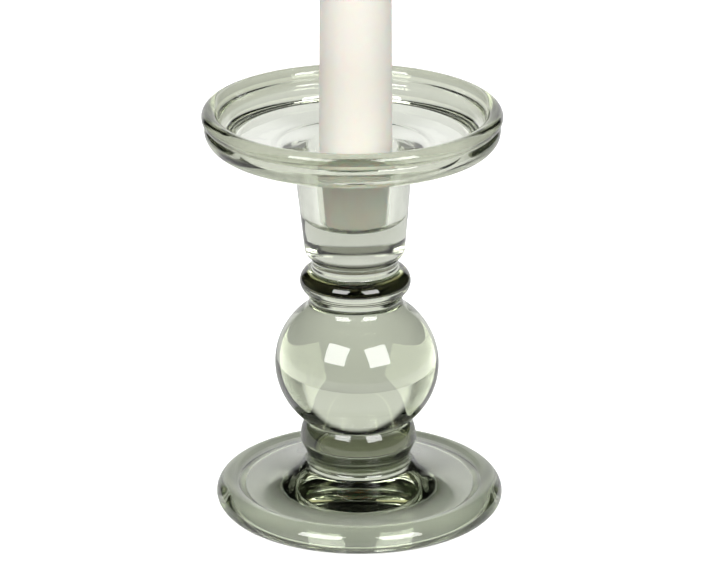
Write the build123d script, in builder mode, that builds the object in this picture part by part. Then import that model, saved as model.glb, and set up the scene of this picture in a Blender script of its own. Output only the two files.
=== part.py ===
# Glass candlestick: a foot, a lower ring, a ball, an upper ring, a candle socket and a drip pan,
# shaped hot and fused into one piece of glass, with a wax dinner candle standing in the socket.
# Millimetres, +Z up. The origin is the centre of the ring that the foot rests on.
# Every piece is turned: its half outline is drawn on the XZ plane and revolved about Z.
from build123d import *
import os

os.makedirs("parts", exist_ok=True)

# Foot: a domed plate with a rolled edge, recessed underneath
foot_radius = 43.8
roll_bottom_curve = 3.8
roll_top_curve = 4.3
roll_turn = 120
rest_turn = 75
rest_width = 1.6
hollow_depth = 4.2
collar_radius = 17.2
collar_height = 13.0
plate_bow = 0.9
foot_neck_radius = 15.9
foot_top = 14.4

# Lower ring: bulging gently from under the ball to its sharp, widest lower edge
lower_neck_height = 17.0
lower_ring_radius = 17.75
lower_ring_edge_height = 21.2
lower_ring_bow = 0.46

# Ball: a solid knop, a little wider than it is tall, drawn up into a short neck
ball_radius = 24.95
ball_height = 45.75
ball_side_curve = 21.9
ball_turn = 54
ball_neck_curve = 4.4

# Upper ring: a round bead with a narrow neck above it
upper_ring_radius = 16.8
upper_ring_height = 72.4
upper_ring_curve = 3.95
upper_ring_top_turn = 82
upper_ring_bottom_turn = 50
upper_neck_bow = 0.35

# Candle socket: a tapered cup with a solid bottom
socket_bottom_radius = 15.15
socket_bottom_height = 82.9
socket_bottom_curve = 3.5
socket_bottom_turn = 56
socket_top_radius = 17.7
socket_top = 109.0
bore_floor_radius = 10.3
bore_floor_height = 91.2
bore_top_radius = 11.5
bore_corner = 1.5

# Drip pan: a shallow dish whose floor falls towards the mouth of the socket
mouth_radius = 14.0
mouth_height = 114.6
mouth_bow = 0.7
floor_radius = 35.6
floor_height = 118.05
floor_corner_curve = 4.6
floor_corner_turn = 66
pan_radius = 45.0
bead_height = 124.65
bead_curve = 2.4
bead_top_turn = 168
bead_bottom_turn = 58
pan_wall_radius = 44.35
pan_wall_height = 120.6
pan_wall_curve = 4.85
flare_radius = 24.0
flare_height = 113.4
flare_bow = 1.3

# Candle: a dinner candle with a tapered butt, standing just clear of the bore
wax_gap = 0.3
candle_length = 200.0
butt_radius = 9.0
butt_length = 24.0
candle_radius = 10.95
candle_shoulder_radius = 9.95
candle_shoulder_length = 9.0
candle_shoulder_bow = 2.0
candle_tip_radius = 1.6
wick_radius = 0.9
wick_proud = 11.0

candle_bottom = bore_floor_height + wax_gap
candle_top = candle_bottom + candle_length


# The foot and its hollow: outwards from the resting ring, over the roll and up the plate
with BuildPart() as foot:
    with BuildSketch(Plane.XZ):
        with BuildLine():
            rest_outer = (foot_radius - roll_bottom_curve, 0)
            rest_inner = (foot_radius - roll_bottom_curve - rest_width, 0)
            Line(rest_inner, rest_outer)
            rest_side = JernArc(rest_inner, (-1, 0), roll_bottom_curve, -rest_turn)
            rise = hollow_depth - (rest_side @ 1).Y
            hollow_curve = ((rest_side @ 1).X ** 2 + rise**2) / (2 * rise)
            hollow = RadiusArc(rest_side @ 1, (0, hollow_depth), -hollow_curve)
            roll_bottom = JernArc(rest_outer, (1, 0), roll_bottom_curve, 90)
            roll_top = JernArc(roll_bottom @ 1, (0, 1), roll_top_curve, roll_turn)
            plate = SagittaArc(roll_top @ 1, (collar_radius, collar_height), plate_bow)
            Line(plate @ 1, (foot_neck_radius, foot_top))
            Line((foot_neck_radius, foot_top), (0, foot_top))
            Line((0, foot_top), hollow @ 1)
        make_face()
    revolve(axis=Axis.Z)
foot.part.label = "foot"
export_step(foot.part, "parts/foot.step")

# The ball: both halves start at its widest point, and the upper one sweeps into the neck
with BuildPart() as ball_knop:
    with BuildSketch(Plane.XZ):
        with BuildLine():
            middle = (ball_radius, ball_height)
            ball_bottom = JernArc(middle, (0, -1), ball_side_curve, -ball_turn)
            ball_shoulder = JernArc(middle, (0, 1), ball_side_curve, ball_turn)
            ball_neck = JernArc(ball_shoulder @ 1, ball_shoulder % 1, ball_neck_curve, -ball_turn)
            ball_seat = (ball_bottom @ 1).Y
            ball_top = (ball_neck @ 1).Y
            Line(ball_bottom @ 1, (0, ball_seat))
            Line((0, ball_seat), (0, ball_top))
            Line((0, ball_top), ball_neck @ 1)
        make_face()
    revolve(axis=Axis.Z)
ball_knop.part.label = "ball_knop"
export_step(ball_knop.part, "parts/ball_knop.step")

# The lower ring fills the gap between the foot's neck and the underside of the ball
with BuildPart() as lower_ring:
    with BuildSketch(Plane.XZ):
        with BuildLine():
            edge = (lower_ring_radius, lower_ring_edge_height)
            Polyline(
                (0, ball_seat),
                (0, foot_top),
                (foot_neck_radius, foot_top),
                (foot_neck_radius, lower_neck_height),
                edge,
            )
            SagittaArc(edge, ball_bottom @ 1, -lower_ring_bow)
            Line(ball_bottom @ 1, (0, ball_seat))
        make_face()
    revolve(axis=Axis.Z)
lower_ring.part.label = "lower_ring"
export_step(lower_ring.part, "parts/lower_ring.step")

# The candle socket: outside from its widest bottom curve, inside from the floor of the bore
with BuildPart() as candle_socket:
    with BuildSketch(Plane.XZ):
        with BuildLine():
            bottom_edge = (socket_bottom_radius, socket_bottom_height)
            side = Line((socket_top_radius, socket_top), bottom_edge)
            bottom = JernArc(bottom_edge, side % 1, socket_bottom_curve, -socket_bottom_turn)
            socket_seat = (bottom @ 1).Y
            Polyline(
                bottom @ 1,
                (0, socket_seat),
                (0, bore_floor_height),
                (bore_floor_radius - bore_corner, bore_floor_height),
                (bore_floor_radius, bore_floor_height + bore_corner),
                (bore_top_radius, socket_top),
                (socket_top_radius, socket_top),
            )
        make_face()
    revolve(axis=Axis.Z)
candle_socket.part.label = "candle_socket"
export_step(candle_socket.part, "parts/candle_socket.step")

# The upper ring and the narrow neck that carries the socket
with BuildPart() as upper_ring:
    with BuildSketch(Plane.XZ):
        with BuildLine():
            widest = (upper_ring_radius, upper_ring_height)
            ring_top = JernArc(widest, (0, 1), upper_ring_curve, upper_ring_top_turn)
            ring_bottom = JernArc(widest, (0, -1), upper_ring_curve, -upper_ring_bottom_turn)
            SagittaArc(ring_top @ 1, bottom @ 1, upper_neck_bow)
            Line(ring_bottom @ 1, ball_neck @ 1)
            Polyline(ball_neck @ 1, (0, ball_top), (0, socket_seat), bottom @ 1)
        make_face()
    revolve(axis=Axis.Z)
upper_ring.part.label = "upper_ring"
export_step(upper_ring.part, "parts/upper_ring.step")

# The drip pan: from the mouth of the socket, across the floor, over the bead and back below
with BuildPart() as drip_pan:
    with BuildSketch(Plane.XZ):
        with BuildLine():
            mouth = (mouth_radius, mouth_height)
            Line((socket_top_radius, socket_top), (bore_top_radius, socket_top))
            SagittaArc((bore_top_radius, socket_top), mouth, mouth_bow)
            floor = Line(mouth, (floor_radius, floor_height))
            corner = JernArc(floor @ 1, floor % 1, floor_corner_curve, floor_corner_turn)
            rim = (pan_radius, bead_height)
            bead_top = JernArc(rim, (0, 1), bead_curve, bead_top_turn)
            bead_bottom = JernArc(rim, (0, -1), bead_curve, -bead_bottom_turn)
            Line(corner @ 1, bead_top @ 1)
            underside = (pan_wall_radius - pan_wall_curve, pan_wall_height - pan_wall_curve)
            ThreePointArc(bead_bottom @ 1, (pan_wall_radius, pan_wall_height), underside)
            Line(underside, (flare_radius, flare_height))
            SagittaArc((flare_radius, flare_height), (socket_top_radius, socket_top), -flare_bow)
        make_face()
    revolve(axis=Axis.Z)
drip_pan.part.label = "drip_pan"
export_step(drip_pan.part, "parts/drip_pan.step")

# The candle, bored through for its wick
with BuildPart() as candle:
    with BuildSketch(Plane.XZ):
        with BuildLine():
            shoulder = (candle_shoulder_radius, candle_top - candle_shoulder_length)
            tip = (candle_tip_radius, candle_top)
            Polyline(
                tip,
                (wick_radius, candle_top),
                (wick_radius, candle_bottom),
                (butt_radius, candle_bottom),
                (candle_radius, candle_bottom + butt_length),
                shoulder,
            )
            SagittaArc(shoulder, tip, -candle_shoulder_bow)
        make_face()
    revolve(axis=Axis.Z)
candle.part.label = "candle"
export_step(candle.part, "parts/candle.step")

# The wick runs the whole length of the candle and stands proud of its tip
with BuildPart() as wick:
    with BuildSketch(Plane.XY.offset(candle_bottom)):
        Circle(wick_radius)
    extrude(amount=candle_length + wick_proud)
wick.part.label = "wick"
export_step(wick.part, "parts/wick.step")
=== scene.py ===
import math

import bmesh
import bpy
from mathutils import Matrix, Vector


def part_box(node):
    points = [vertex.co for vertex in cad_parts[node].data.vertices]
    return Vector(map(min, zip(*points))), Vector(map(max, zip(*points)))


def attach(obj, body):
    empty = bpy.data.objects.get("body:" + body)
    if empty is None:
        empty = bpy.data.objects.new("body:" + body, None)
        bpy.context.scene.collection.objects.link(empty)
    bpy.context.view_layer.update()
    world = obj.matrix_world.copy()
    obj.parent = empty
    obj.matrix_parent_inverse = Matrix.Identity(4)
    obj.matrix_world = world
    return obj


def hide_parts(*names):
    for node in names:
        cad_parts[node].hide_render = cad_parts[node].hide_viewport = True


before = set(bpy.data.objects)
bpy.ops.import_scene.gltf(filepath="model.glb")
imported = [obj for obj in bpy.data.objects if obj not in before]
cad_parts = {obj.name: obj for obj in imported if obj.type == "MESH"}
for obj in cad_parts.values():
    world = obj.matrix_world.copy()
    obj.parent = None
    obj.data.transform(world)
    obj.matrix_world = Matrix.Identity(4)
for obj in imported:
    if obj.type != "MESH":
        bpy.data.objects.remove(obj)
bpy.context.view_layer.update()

MM = 0.001
UP = (0.0, 0.0, 1.0)
TURN_AXIS = (0.0, -1.0, 0.0)
TURN_STEPS = 192
CANDLE_STEPS = 160

# Foot
REST_CURVE = 3.8 * MM
REST_TURN = 75
REST_WIDTH = 1.6 * MM
ROLL_CURVE = 4.3 * MM
ROLL_TURN = 120
HOLLOW_DEPTH = 4.2 * MM
COLLAR_RADIUS = 17.2 * MM
COLLAR_HEIGHT = 13.0 * MM
PLATE_BOW = 0.9 * MM
FOOT_NECK_RADIUS = 15.9 * MM

# Lower ring, ball and upper ring
LOWER_NECK_HEIGHT = 17.0 * MM
LOWER_EDGE_HEIGHT = 21.2 * MM
LOWER_RING_BOW = 0.46 * MM
BALL_CURVE = 21.9 * MM
BALL_TURN = 54
BALL_NECK_CURVE = 4.4 * MM
UPPER_RING_CURVE = 3.95 * MM
UPPER_RING_HEIGHT = 72.4 * MM
UPPER_RING_UNDER_TURN = 50
UPPER_RING_OVER_TURN = 82
UPPER_NECK_BOW = 0.35 * MM

# Candle socket
SOCKET_SEAT_RADIUS = 13.4 * MM
SOCKET_CURVE = 3.5 * MM
SOCKET_TURN = 56
SOCKET_BOTTOM = (15.15 * MM, 82.9 * MM)
SOCKET_TOP = (17.7 * MM, 109.0 * MM)
BORE_TOP_RADIUS = 11.5 * MM
BORE_FLOOR_RADIUS = 10.3 * MM
BORE_FLOOR_HEIGHT = 91.2 * MM
BORE_CORNER = 1.5 * MM

# Drip pan
FLARE = (24.0 * MM, 113.4 * MM)
FLARE_BOW = 1.3 * MM
PAN_UNDERSIDE = (39.5 * MM, 115.75 * MM)
PAN_WALL_CURVE = 4.85 * MM
PAN_WALL_TURN = 114
RIM_CURVE = 2.4 * MM
RIM_UNDER_TURN = 58
RIM_OVER_TURN = 168
PAN_INNER_WALL = (39.32 * MM, 121.4 * MM)
PAN_FLOOR = (35.6 * MM, 118.05 * MM)
FLOOR_CORNER_BOW = 0.742 * MM
MOUTH = (14.0 * MM, 114.6 * MM)
MOUTH_BOW = 0.7 * MM

# The glass stands about a degree off plumb: sideways travel per height, above and below a pivot
GLASS_LEAN = -0.018
LEAN_PIVOT = 68.0 * MM

# Candle and wick
BUTT_RADIUS = 9.0 * MM
BUTT_LENGTH = 24.0 * MM
SHOULDER_RADIUS = 9.95 * MM
SHOULDER_LENGTH = 9.0 * MM
SHOULDER_BOW = 2.0 * MM
TIP_RADIUS = 1.6 * MM
TIP_DIP = 0.15 * MM
WICK_ROOT = 4.0 * MM
STRANDS = 3
STRAND_RADIUS = 0.42 * MM
STRAND_OFFSET = 0.4 * MM
STRAND_TURNS = 2.4
STRAND_STEPS = 72

# Camera
CAMERA_ELEVATION = 20.69
CAMERA_DISTANCE = 1.3535
CAMERA_TARGET = (-0.0005, 0.0, 0.0698)
CAMERA_LENS = 227.7

# Lights: name, bearing from the front, then elevation or power
LIGHT_DISTANCE = 2.0
LIGHT_TARGET = (0.0, 0.0, 0.05)
SOFTBOX_SIZE = 1.088
SOFTBOX_POWER = 47.36
SOFTBOXES = (("left", -33.3, 33.8), ("right", 35.3, 31.9))
FILL_SIZE = 1.4
FILL_ELEVATION = 25.0
FILLS = (("left", -110.0, 12.0), ("right", 110.0, 9.0), ("back", 180.0, 6.0))

# Studio: how far the backdrop spreads from straight behind, how high it goes, and how bright it is
BACK_FULL, BACK_GONE = 0.9, 0.82
WALL_FULL, WALL_GONE = 0.5, 0.62
HORIZON_TOP = 0.25
BACKDROP = 1.42
HORIZON = 0.05
CEILING = 0.002
TABLE_LIFT = 0.7
TABLE_RADIUS = 0.45
TABLE_PLACE = (0.0, 0.12, -0.0002)


def high(node):
    """The highest corner of a CAD node: its radius along X and its top along Z."""
    return Vector(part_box(node)[1])


def low(node):
    """The lowest corner of a CAD node."""
    return Vector(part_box(node)[0])


def add_piece(name, bm):
    """Turns a finished bmesh into an object in the scene."""
    mesh = bpy.data.meshes.new(name)
    bm.to_mesh(mesh)
    bm.free()
    piece = bpy.data.objects.new(name, mesh)
    bpy.context.scene.collection.objects.link(piece)
    return piece


# ---------------------------------------------------------------- turned outlines

class Outline:
    """The half outline of a turned piece: a chain of edges on the XZ plane."""

    def __init__(self, radius, height):
        self.bm = bmesh.new()
        self.tip = self.bm.verts.new((radius, 0.0, height))
        self.heading = Vector((1.0, 0.0, 0.0))
        self.corners = []

    def face(self, degrees):
        """Points the outline away from the axis, raised from level by degrees."""
        self.heading = Vector((math.cos(math.radians(degrees)), 0.0, math.sin(math.radians(degrees))))

    def line(self, radius, height, steps=1):
        """A straight side, cut into equal steps."""
        start = self.tip.co.copy()
        end = Vector((radius, 0.0, height))
        for i in range(1, steps + 1):
            made = bmesh.ops.extrude_vert_indiv(self.bm, verts=[self.tip])
            self.tip = made["verts"][0]
            self.tip.co = start.lerp(end, i / steps)
        self.heading = (end - start).normalized()

    def turn(self, curve, degrees, steps):
        """A round stretch that turns left by degrees, or right if they are negative."""
        left = Vector((-self.heading.z, 0.0, self.heading.x))
        centre = self.tip.co + left * math.copysign(curve, degrees)
        made = bmesh.ops.spin(
            self.bm, geom=[self.tip], cent=centre, axis=TURN_AXIS,
            angle=math.radians(degrees), steps=steps, use_merge=False, use_duplicate=False,
        )
        self.tip = made["geom_last"][0]
        self.heading.rotate(Matrix.Rotation(math.radians(degrees), 3, TURN_AXIS))

    def bow(self, radius, height, sagitta, steps):
        """An arc to a point, standing off its chord by sagitta, to the right if it is negative."""
        chord = Vector((radius, 0.0, height)) - self.tip.co
        half = chord.length / 2
        curve = (half**2 + sagitta**2) / (2 * abs(sagitta))
        swing = 2 * math.asin(half / curve) * -math.copysign(1.0, sagitta)
        self.heading = chord.normalized()
        self.heading.rotate(Matrix.Rotation(-swing / 2, 3, TURN_AXIS))
        self.turn(curve, math.degrees(swing), steps)

    def soften(self, size):
        """Marks the point reached as a corner that the fire has rounded."""
        self.corners.append((self.tip, size))

    def spin(self, name, steps=TURN_STEPS, lean=0.0, pivot=0.0):
        """Rounds the corners, turns the outline about the axis and returns the finished piece.

        A lean pushes it towards +X by that much for every unit of height above the pivot.
        """
        for vert, size in self.corners:
            bmesh.ops.bevel(
                self.bm, geom=[vert], affect="VERTICES", offset=size, offset_type="OFFSET",
                segments=5, profile=0.5, material=-1, clamp_overlap=True,
            )
        bmesh.ops.spin(
            self.bm, geom=self.bm.verts[:] + self.bm.edges[:], cent=(0.0, 0.0, 0.0), axis=UP,
            angle=math.tau, steps=steps, use_merge=True, use_duplicate=False,
        )
        bmesh.ops.remove_doubles(self.bm, verts=self.bm.verts[:], dist=0.001 * MM)
        if lean:
            slant = Matrix.Identity(4)
            slant[0][2], slant[0][3] = lean, -lean * pivot
            bmesh.ops.transform(self.bm, matrix=slant, verts=self.bm.verts[:])
        bmesh.ops.recalc_face_normals(self.bm, faces=self.bm.faces[:])
        for face in self.bm.faces:
            face.smooth = True
        return add_piece(name, self.bm)


# ---------------------------------------------------------------- the glass

def draw_foot(out):
    """From the middle of the hollow, round the resting ring and the roll, up to the neck."""
    foot = high("foot")
    rest_outer = foot.x - REST_CURVE
    hollow_radius = rest_outer - REST_WIDTH - REST_CURVE * math.sin(math.radians(REST_TURN))
    rise = HOLLOW_DEPTH - REST_CURVE * (1 - math.cos(math.radians(REST_TURN)))
    hollow_curve = (hollow_radius**2 + rise**2) / (2 * rise)
    out.turn(hollow_curve, -math.degrees(math.asin(hollow_radius / hollow_curve)), 28)
    out.soften(0.5 * MM)
    out.face(-REST_TURN)
    out.turn(REST_CURVE, REST_TURN, 10)
    out.line(rest_outer, 0.0)
    out.turn(REST_CURVE, 90, 18)
    out.turn(ROLL_CURVE, ROLL_TURN, 26)
    out.soften(0.4 * MM)
    out.bow(COLLAR_RADIUS, COLLAR_HEIGHT, PLATE_BOW, 18)
    out.soften(0.6 * MM)
    out.line(FOOT_NECK_RADIUS, foot.z)
    out.soften(0.5 * MM)


def draw_lower_ring(out):
    """The neck of the foot, then a gentle bulge from a sharp lower edge up to the ball."""
    ring = high("lower_ring")
    ball_seat_radius = high("ball_knop").x - BALL_CURVE * (1 - math.cos(math.radians(BALL_TURN)))
    out.line(FOOT_NECK_RADIUS, LOWER_NECK_HEIGHT, 2)
    out.soften(0.8 * MM)
    out.line(ring.x, LOWER_EDGE_HEIGHT, 3)
    out.soften(0.4 * MM)
    out.bow(ball_seat_radius, ring.z, -LOWER_RING_BOW, 14)
    out.soften(0.3 * MM)


def draw_ball(out):
    """The ball, up its side and into its neck."""
    out.face(90 - BALL_TURN)
    out.turn(BALL_CURVE, 2 * BALL_TURN, 84)
    out.turn(BALL_NECK_CURVE, -BALL_TURN, 14)
    out.soften(0.3 * MM)


def draw_upper_ring(out):
    """The bead and the narrow neck above it."""
    ring = high("upper_ring")
    under = math.radians(UPPER_RING_UNDER_TURN)
    bead_foot_radius = ring.x - UPPER_RING_CURVE * (1 - math.cos(under))
    out.line(bead_foot_radius, UPPER_RING_HEIGHT - UPPER_RING_CURVE * math.sin(under), 3)
    out.face(90 - UPPER_RING_UNDER_TURN)
    out.turn(UPPER_RING_CURVE, UPPER_RING_UNDER_TURN + UPPER_RING_OVER_TURN, 34)
    out.soften(0.3 * MM)
    out.bow(SOCKET_SEAT_RADIUS, low("candle_socket").z, UPPER_NECK_BOW, 8)
    out.soften(0.3 * MM)


def draw_pan_outside(out):
    """The socket's side, the flare under the pan, its wall and the bead at its rim."""
    taper = math.atan((SOCKET_TOP[0] - SOCKET_BOTTOM[0]) / (SOCKET_TOP[1] - SOCKET_BOTTOM[1]))
    out.face(90 - math.degrees(taper) - SOCKET_TURN)
    out.turn(SOCKET_CURVE, SOCKET_TURN, 12)
    out.line(SOCKET_TOP[0], high("candle_socket").z, 10)
    out.bow(*FLARE, FLARE_BOW, 16)
    out.line(*PAN_UNDERSIDE, 12)
    out.soften(0.8 * MM)
    out.face(0)
    out.turn(PAN_WALL_CURVE, PAN_WALL_TURN, 24)
    out.soften(0.15 * MM)
    out.face(90 - RIM_UNDER_TURN)
    out.turn(RIM_CURVE, RIM_UNDER_TURN + RIM_OVER_TURN, 40)


def draw_pan_inside(out):
    """The inner wall, the floor of the pan, the mouth and the bore."""
    out.line(*PAN_INNER_WALL, 4)
    out.bow(*PAN_FLOOR, -FLOOR_CORNER_BOW, 16)
    out.line(*MOUTH, 12)
    out.soften(0.8 * MM)
    out.bow(BORE_TOP_RADIUS, high("candle_socket").z, -MOUTH_BOW, 10)
    out.line(BORE_FLOOR_RADIUS, BORE_FLOOR_HEIGHT + BORE_CORNER, 8)
    out.soften(0.8 * MM)
    out.line(BORE_FLOOR_RADIUS - BORE_CORNER, BORE_FLOOR_HEIGHT)
    out.soften(0.8 * MM)
    out.line(0.0, BORE_FLOOR_HEIGHT, 4)


def make_glass():
    """The whole candlestick as one unbroken piece of glass, a degree off plumb as made."""
    out = Outline(0.0, HOLLOW_DEPTH)
    draw_foot(out)
    draw_lower_ring(out)
    draw_ball(out)
    draw_upper_ring(out)
    draw_pan_outside(out)
    draw_pan_inside(out)
    return out.spin("candlestick_glass", lean=GLASS_LEAN, pivot=LEAN_PIVOT)


# ---------------------------------------------------------------- the candle

def make_candle():
    """The wax body: a rounded butt, a tapered foot, a straight side and a softened shoulder."""
    foot, top = low("candle").z, high("candle").z
    out = Outline(0.0, foot)
    out.line(BUTT_RADIUS, foot, 4)
    out.soften(0.9 * MM)
    out.line(high("candle").x, foot + BUTT_LENGTH, 6)
    out.soften(2.0 * MM)
    out.line(SHOULDER_RADIUS, top - SHOULDER_LENGTH, 24)
    out.soften(1.2 * MM)
    out.bow(TIP_RADIUS, top, -SHOULDER_BOW, 14)
    out.soften(0.4 * MM)
    out.line(0.0, top - TIP_DIP, 2)
    return out.spin("wax_candle", CANDLE_STEPS)


def make_wick():
    """Waxed cotton strands twisted together, standing out of the tip of the candle."""
    start = high("candle").z - WICK_ROOT
    rise = high("wick").z - start
    bm = bmesh.new()
    for strand in range(STRANDS):
        def middle(i):
            """The middle of the strand's ring number i, on its twist round the wick."""
            angle = math.tau * (STRAND_TURNS * i / STRAND_STEPS + strand / STRANDS)
            across, along = STRAND_OFFSET * math.cos(angle), STRAND_OFFSET * math.sin(angle)
            return Vector((across, along, start + rise * i / STRAND_STEPS))

        def size(i):
            """How thick the strand is there: even, then drawn in over its last three rings."""
            return math.sqrt(max(0.02, 1 - (max(0, i - STRAND_STEPS + 3) / 3.1) ** 2))

        made = bmesh.ops.create_circle(bm, cap_ends=True, radius=STRAND_RADIUS, segments=12)
        ring = made["verts"]
        bmesh.ops.translate(bm, verts=ring, vec=middle(0))
        edges = list({edge for vert in ring for edge in vert.link_edges})
        for i in range(1, STRAND_STEPS + 1):
            made = bmesh.ops.extrude_edge_only(bm, edges=edges)["geom"]
            ring = [item for item in made if isinstance(item, bmesh.types.BMVert)]
            edges = [item for item in made if isinstance(item, bmesh.types.BMEdge)]
            bmesh.ops.translate(bm, verts=ring, vec=middle(i) - middle(i - 1))
            grow = size(i) / size(i - 1)
            bmesh.ops.scale(bm, verts=ring, vec=(grow, grow, 1.0), space=Matrix.Translation(-middle(i)))
        bmesh.ops.edgeloop_fill(bm, edges=edges)
    bmesh.ops.recalc_face_normals(bm, faces=bm.faces[:])
    for face in bm.faces:
        face.smooth = len(face.verts) == 4
    return add_piece("cotton_wick", bm)


# ---------------------------------------------------------------- materials

def new_material(name):
    """An empty node material and its output."""
    material = bpy.data.materials.new(name)
    material.use_nodes = True
    tree = material.node_tree
    tree.nodes.clear()
    return material, tree, tree.nodes.new("ShaderNodeOutputMaterial")


def mottle_group():
    """Soft cloudy patches laid over a colour, with a matching unevenness of the surface."""
    group = bpy.data.node_groups.new("cloudy_mottle", "ShaderNodeTree")
    face = group.interface
    for name, kind, value in (
        ("Light", "NodeSocketColor", (1.0, 1.0, 1.0, 1.0)),
        ("Dark", "NodeSocketColor", (0.8, 0.8, 0.8, 1.0)),
        ("Patch Scale", "NodeSocketFloat", 60.0),
        ("Grain Scale", "NodeSocketFloat", 900.0),
        ("Smooth", "NodeSocketFloat", 0.4),
        ("Rough", "NodeSocketFloat", 0.6),
    ):
        socket = face.new_socket(name=name, in_out="INPUT", socket_type=kind)
        socket.default_value = value
    face.new_socket(name="Color", in_out="OUTPUT", socket_type="NodeSocketColor")
    face.new_socket(name="Roughness", in_out="OUTPUT", socket_type="NodeSocketFloat")
    face.new_socket(name="Height", in_out="OUTPUT", socket_type="NodeSocketFloat")
    given = group.nodes.new("NodeGroupInput")
    result = group.nodes.new("NodeGroupOutput")
    place = group.nodes.new("ShaderNodeTexCoord")

    def cloud(scale, detail):
        """Noise at one of the group's own scales."""
        node = group.nodes.new("ShaderNodeTexNoise")
        node.inputs["Detail"].default_value = detail
        group.links.new(place.outputs["Object"], node.inputs["Vector"])
        group.links.new(given.outputs[scale], node.inputs["Scale"])
        return node.outputs["Fac"]

    patches = cloud("Patch Scale", 3.0)
    grain = cloud("Grain Scale", 2.0)
    tone = group.nodes.new("ShaderNodeMix")
    tone.data_type = "RGBA"
    group.links.new(patches, tone.inputs["Factor"])
    group.links.new(given.outputs["Light"], tone.inputs["A"])
    group.links.new(given.outputs["Dark"], tone.inputs["B"])
    sheen = group.nodes.new("ShaderNodeMapRange")
    group.links.new(patches, sheen.inputs["Value"])
    sheen.inputs["From Min"].default_value = 0.3
    sheen.inputs["From Max"].default_value = 0.7
    group.links.new(given.outputs["Smooth"], sheen.inputs["To Min"])
    group.links.new(given.outputs["Rough"], sheen.inputs["To Max"])
    height = group.nodes.new("ShaderNodeMath")
    height.operation = "MULTIPLY_ADD"
    height.inputs[1].default_value = 0.25
    group.links.new(grain, height.inputs[0])
    group.links.new(patches, height.inputs[2])
    group.links.new(tone.outputs["Result"], result.inputs["Color"])
    group.links.new(sheen.outputs["Result"], result.inputs["Roughness"])
    group.links.new(height.outputs["Value"], result.inputs["Height"])
    return group


def mottled(tree, group, shader, light, dark, patch_scale, grain_scale, smooth, rough, depth):
    """Drives a shader's colour, roughness and normal from one cloudy group."""
    clouds = tree.nodes.new("ShaderNodeGroup")
    clouds.node_tree = group
    clouds.inputs["Light"].default_value = light + (1.0,)
    clouds.inputs["Dark"].default_value = dark + (1.0,)
    clouds.inputs["Patch Scale"].default_value = patch_scale
    clouds.inputs["Grain Scale"].default_value = grain_scale
    clouds.inputs["Smooth"].default_value = smooth
    clouds.inputs["Rough"].default_value = rough
    bump = tree.nodes.new("ShaderNodeBump")
    bump.inputs["Distance"].default_value = depth
    bump.inputs["Strength"].default_value = 0.5
    tree.links.new(clouds.outputs["Color"], shader.inputs["Base Color"])
    tree.links.new(clouds.outputs["Roughness"], shader.inputs["Roughness"])
    tree.links.new(clouds.outputs["Height"], bump.inputs["Height"])
    tree.links.new(bump.outputs["Normal"], shader.inputs["Normal"])


def fade(tree, value, gone, full):
    """A mask that rises smoothly from 0 at one value to 1 at the other."""
    node = tree.nodes.new("ShaderNodeMapRange")
    node.interpolation_type = "SMOOTHSTEP"
    node.inputs["From Min"].default_value = gone
    node.inputs["From Max"].default_value = full
    tree.links.new(value, node.inputs["Value"])
    return node.outputs["Result"]


def combine(tree, operation, one, other):
    """One step of arithmetic on two values, each of them a socket or a plain number."""
    node = tree.nodes.new("ShaderNodeMath")
    node.operation = operation
    for socket, value in zip(node.inputs, (one, other)):
        if isinstance(value, float):
            socket.default_value = value
        else:
            tree.links.new(value, socket)
    return node.outputs["Value"]


def height_and_radius(tree):
    """Height above the table and distance from the axis, at each point of a piece."""
    place = tree.nodes.new("ShaderNodeTexCoord")
    split = tree.nodes.new("ShaderNodeSeparateXYZ")
    flat = tree.nodes.new("ShaderNodeVectorMath")
    flat.operation = "MULTIPLY"
    flat.inputs[1].default_value = (1.0, 1.0, 0.0)
    spread = tree.nodes.new("ShaderNodeVectorMath")
    spread.operation = "LENGTH"
    tree.links.new(place.outputs["Object"], split.inputs["Vector"])
    tree.links.new(place.outputs["Object"], flat.inputs[0])
    tree.links.new(flat.outputs["Vector"], spread.inputs[0])
    return split.outputs["Z"], spread.outputs["Value"]


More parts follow.
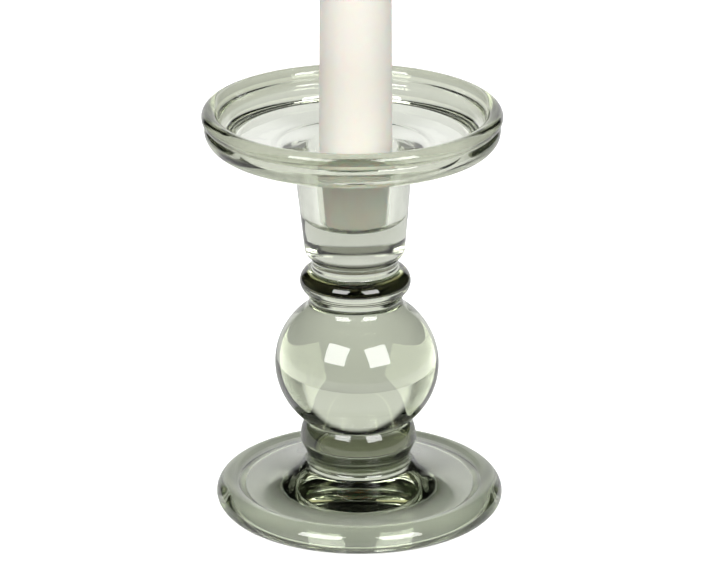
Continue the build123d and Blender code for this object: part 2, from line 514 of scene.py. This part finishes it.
def glass_material(group):
    """Smoky grey-green glass: faint cords of colour and the slow waves left by the gatherer, with shade
    painted onto its rings and rims.
    """
    material, tree, output = new_material("smoky_grey_green_glass")
    shader = tree.nodes.new("ShaderNodeBsdfPrincipled")
    shader.inputs["Roughness"].default_value = 0.0
    shader.inputs["IOR"].default_value = 1.5
    shader.inputs["Transmission Weight"].default_value = 1.0
    cords = tree.nodes.new("ShaderNodeGroup")
    cords.node_tree = group
    cords.inputs["Light"].default_value = (0.940, 0.962, 0.895, 1.0)
    cords.inputs["Dark"].default_value = (0.910, 0.938, 0.862, 1.0)
    cords.inputs["Patch Scale"].default_value = 32.0
    cords.inputs["Grain Scale"].default_value = 90.0
    waves = tree.nodes.new("ShaderNodeBump")
    waves.inputs["Strength"].default_value = 0.15
    waves.inputs["Distance"].default_value = 0.0004
    tint = tree.nodes.new("ShaderNodeVolumeAbsorption")
    tint.inputs["Color"].default_value = (0.775, 0.787, 0.738, 1.0)
    tint.inputs["Density"].default_value = 60.0
    height, radius = height_and_radius(tree)

    def paint_shade(colour, bottom, top, inner, shade):
        """Paints shade into a colour between two heights and outside a radius, in millimetres, with
        soft edges.
        """
        above = fade(tree, height, (bottom - 0.3) * MM, (bottom + 0.3) * MM)
        below = fade(tree, height, (top + 0.4) * MM, (top - 0.4) * MM)
        outside = fade(tree, radius, (inner - 0.8) * MM, (inner + 0.8) * MM)
        mix = tree.nodes.new("ShaderNodeMix")
        mix.data_type = "RGBA"
        mix.blend_type = "MULTIPLY"
        band = combine(tree, "MULTIPLY", above, below)
        tree.links.new(combine(tree, "MULTIPLY", band, outside), mix.inputs["Factor"])
        tree.links.new(colour, mix.inputs["A"])
        mix.inputs["B"].default_value = shade + (1.0,)
        return mix.outputs["Result"]

    # These shades are painted on: they stand in for the dark surroundings that the thick rings and
    # rims gather, while the volume's tint is the same all through. A shade of white takes one away.
    cords_and_painted_shade = cords.outputs["Color"]
    cords_and_painted_shade = paint_shade(cords_and_painted_shade, 72.2, 76.3, 8.0, (0.040, 0.034, 0.018))  # upper ring
    cords_and_painted_shade = paint_shade(cords_and_painted_shade, 79.8, 82.6, 8.0, (0.090, 0.092, 0.070))  # bottom of the socket
    cords_and_painted_shade = paint_shade(cords_and_painted_shade, 15.4, 20.8, 8.0, (0.060, 0.068, 0.042))  # neck under the lower ring
    cords_and_painted_shade = paint_shade(cords_and_painted_shade, 21.5, 27.0, 8.0, (0.320, 0.330, 0.220))  # side of the lower ring
    cords_and_painted_shade = paint_shade(cords_and_painted_shade, 112.0, 135.0, 39.6, (0.640, 0.650, 0.580))  # rim of the pan
    cords_and_painted_shade = paint_shade(cords_and_painted_shade, -2.0, 12.0, 38.0, (0.820, 0.840, 0.780))  # roll of the foot
    tree.links.new(cords_and_painted_shade, shader.inputs["Base Color"])
    tree.links.new(cords.outputs["Height"], waves.inputs["Height"])
    tree.links.new(waves.outputs["Normal"], shader.inputs["Normal"])
    tree.links.new(shader.outputs["BSDF"], output.inputs["Surface"])
    tree.links.new(tint.outputs["Volume"], output.inputs["Volume"])
    return material


def wax_material(group):
    """Ivory paraffin wax: faintly clouded, satin, letting a little light in."""
    material, tree, output = new_material("ivory_candle_wax")
    shader = tree.nodes.new("ShaderNodeBsdfPrincipled")
    light, dark = (0.545, 0.530, 0.485), (0.520, 0.505, 0.458)
    mottled(tree, group, shader, light, dark, 45.0, 700.0, 0.42, 0.55, 0.25 * MM)
    shader.inputs["Subsurface Weight"].default_value = 0.6
    shader.inputs["Subsurface Scale"].default_value = 0.004
    shader.inputs["IOR"].default_value = 1.44
    shader.inputs["Specular IOR Level"].default_value = 0.35
    tree.links.new(shader.outputs["BSDF"], output.inputs["Surface"])
    return material


def wick_material(group):
    """Waxed white cotton."""
    material, tree, output = new_material("waxed_cotton_wick")
    shader = tree.nodes.new("ShaderNodeBsdfPrincipled")
    light, dark = (0.66, 0.62, 0.52), (0.46, 0.42, 0.33)
    mottled(tree, group, shader, light, dark, 500.0, 4000.0, 0.6, 0.85, 0.1 * MM)
    shader.inputs["Sheen Weight"].default_value = 0.2
    tree.links.new(shader.outputs["BSDF"], output.inputs["Surface"])
    return material


def table_material():
    """Matt white, lifted to plain white where the camera sees it directly."""
    material, tree, output = new_material("studio_table")
    shader = tree.nodes.new("ShaderNodeBsdfPrincipled")
    shader.inputs["Base Color"].default_value = (0.76, 0.76, 0.76, 1.0)
    shader.inputs["Roughness"].default_value = 0.8
    shader.inputs["Specular IOR Level"].default_value = 0.0
    shader.inputs["Emission Color"].default_value = (1.0, 1.0, 1.0, 1.0)
    path = tree.nodes.new("ShaderNodeLightPath")
    lift = combine(tree, "MULTIPLY", path.outputs["Is Camera Ray"], TABLE_LIFT)
    tree.links.new(lift, shader.inputs["Emission Strength"])
    tree.links.new(shader.outputs["BSDF"], output.inputs["Surface"])
    return material


def dress(piece, material):
    """Gives a piece its one material."""
    piece.data.materials.clear()
    piece.data.materials.append(material)


# ---------------------------------------------------------------- studio

def aim(obj, place, target):
    """Puts a camera or a light in its place and turns it to its target."""
    obj.location = place
    obj.rotation_euler = (Vector(target) - Vector(place)).to_track_quat("-Z", "Y").to_euler()


def make_camera():
    """A long lens, looking down a little from in front."""
    elevation = math.radians(CAMERA_ELEVATION)
    target = Vector(CAMERA_TARGET)
    way = Vector((0, -math.cos(elevation), math.sin(elevation)))
    camera = bpy.data.objects.new("camera", bpy.data.cameras.new("camera"))
    bpy.context.scene.collection.objects.link(camera)
    camera.data.sensor_width = 36.0
    camera.data.lens = CAMERA_LENS
    aim(camera, target + CAMERA_DISTANCE * way, target)
    bpy.context.scene.camera = camera


def make_softbox(name, bearing, elevation, size, power):
    """A square light, turned from the front by its bearing and raised by its elevation."""
    light = bpy.data.lights.new(name, "AREA")
    light.shape = "SQUARE"
    light.size = size
    light.energy = power
    lamp = bpy.data.objects.new(name, light)
    bpy.context.scene.collection.objects.link(lamp)
    target = Vector(LIGHT_TARGET)
    bearing, elevation = math.radians(bearing), math.radians(elevation)
    across, along = math.cos(elevation) * math.sin(bearing), math.cos(elevation) * math.cos(bearing)
    way = Vector((across, -along, math.sin(elevation)))
    aim(lamp, target + way * LIGHT_DISTANCE, target)
    lamp.visible_camera = False
    return lamp


def make_world():
    """A dark studio: a white backdrop behind, a dim horizon all round and a black ceiling."""
    world = bpy.data.worlds.new("studio")
    bpy.context.scene.world = world
    world.use_nodes = True
    tree = world.node_tree
    tree.nodes.clear()
    output = tree.nodes.new("ShaderNodeOutputWorld")
    background = tree.nodes.new("ShaderNodeBackground")
    where = tree.nodes.new("ShaderNodeTexCoord")
    split = tree.nodes.new("ShaderNodeSeparateXYZ")
    tree.links.new(where.outputs["Generated"], split.inputs["Vector"])
    behind, up = split.outputs["Y"], split.outputs["Z"]
    spread, rise = fade(tree, behind, BACK_GONE, BACK_FULL), fade(tree, up, WALL_GONE, WALL_FULL)
    backdrop = combine(tree, "MULTIPLY", spread, rise)
    horizon = combine(tree, "MULTIPLY", fade(tree, up, HORIZON_TOP, 0.0), HORIZON)
    light = combine(tree, "MAXIMUM", combine(tree, "MULTIPLY", backdrop, BACKDROP), horizon)
    light = combine(tree, "ADD", light, CEILING)
    path = tree.nodes.new("ShaderNodeLightPath")
    light = combine(tree, "MAXIMUM", light, path.outputs["Is Camera Ray"])
    tree.links.new(light, background.inputs["Strength"])
    tree.links.new(background.outputs["Background"], output.inputs["Surface"])


def make_table():
    """A round white table top, just under the foot."""
    bm = bmesh.new()
    bmesh.ops.create_circle(bm, cap_ends=True, radius=TABLE_RADIUS, segments=96)
    table = add_piece("table_top", bm)
    table.location = TABLE_PLACE
    dress(table, table_material())


# ---------------------------------------------------------------- the scene

make_camera()
make_world()
make_table()
for side, bearing, elevation in SOFTBOXES:
    make_softbox("softbox_" + side, bearing, elevation, SOFTBOX_SIZE, SOFTBOX_POWER)
for side, bearing, power in FILLS:
    # The fills reach the wax and the table, and leave no highlight in the glass
    fill = make_softbox("fill_" + side, bearing, FILL_ELEVATION, FILL_SIZE, power)
    fill.visible_glossy = False
    fill.visible_transmission = False

glass = make_glass()
clouds = mottle_group()
dress(glass, glass_material(clouds))
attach(glass, "candlestick")
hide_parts("foot", "lower_ring", "ball_knop", "upper_ring", "candle_socket", "drip_pan")

candle = make_candle()
dress(candle, wax_material(clouds))
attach(candle, "candle")
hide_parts("candle")

wick = make_wick()
dress(wick, wick_material(clouds))
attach(wick, "candle")
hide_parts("wick")

scene = bpy.context.scene
scene.view_settings.view_transform = "Standard"
scene.cycles.sample_clamp_indirect = 0.0
scene.cycles.max_bounces = 32
scene.cycles.transmission_bounces = 32
scene.cycles.glossy_bounces = 16
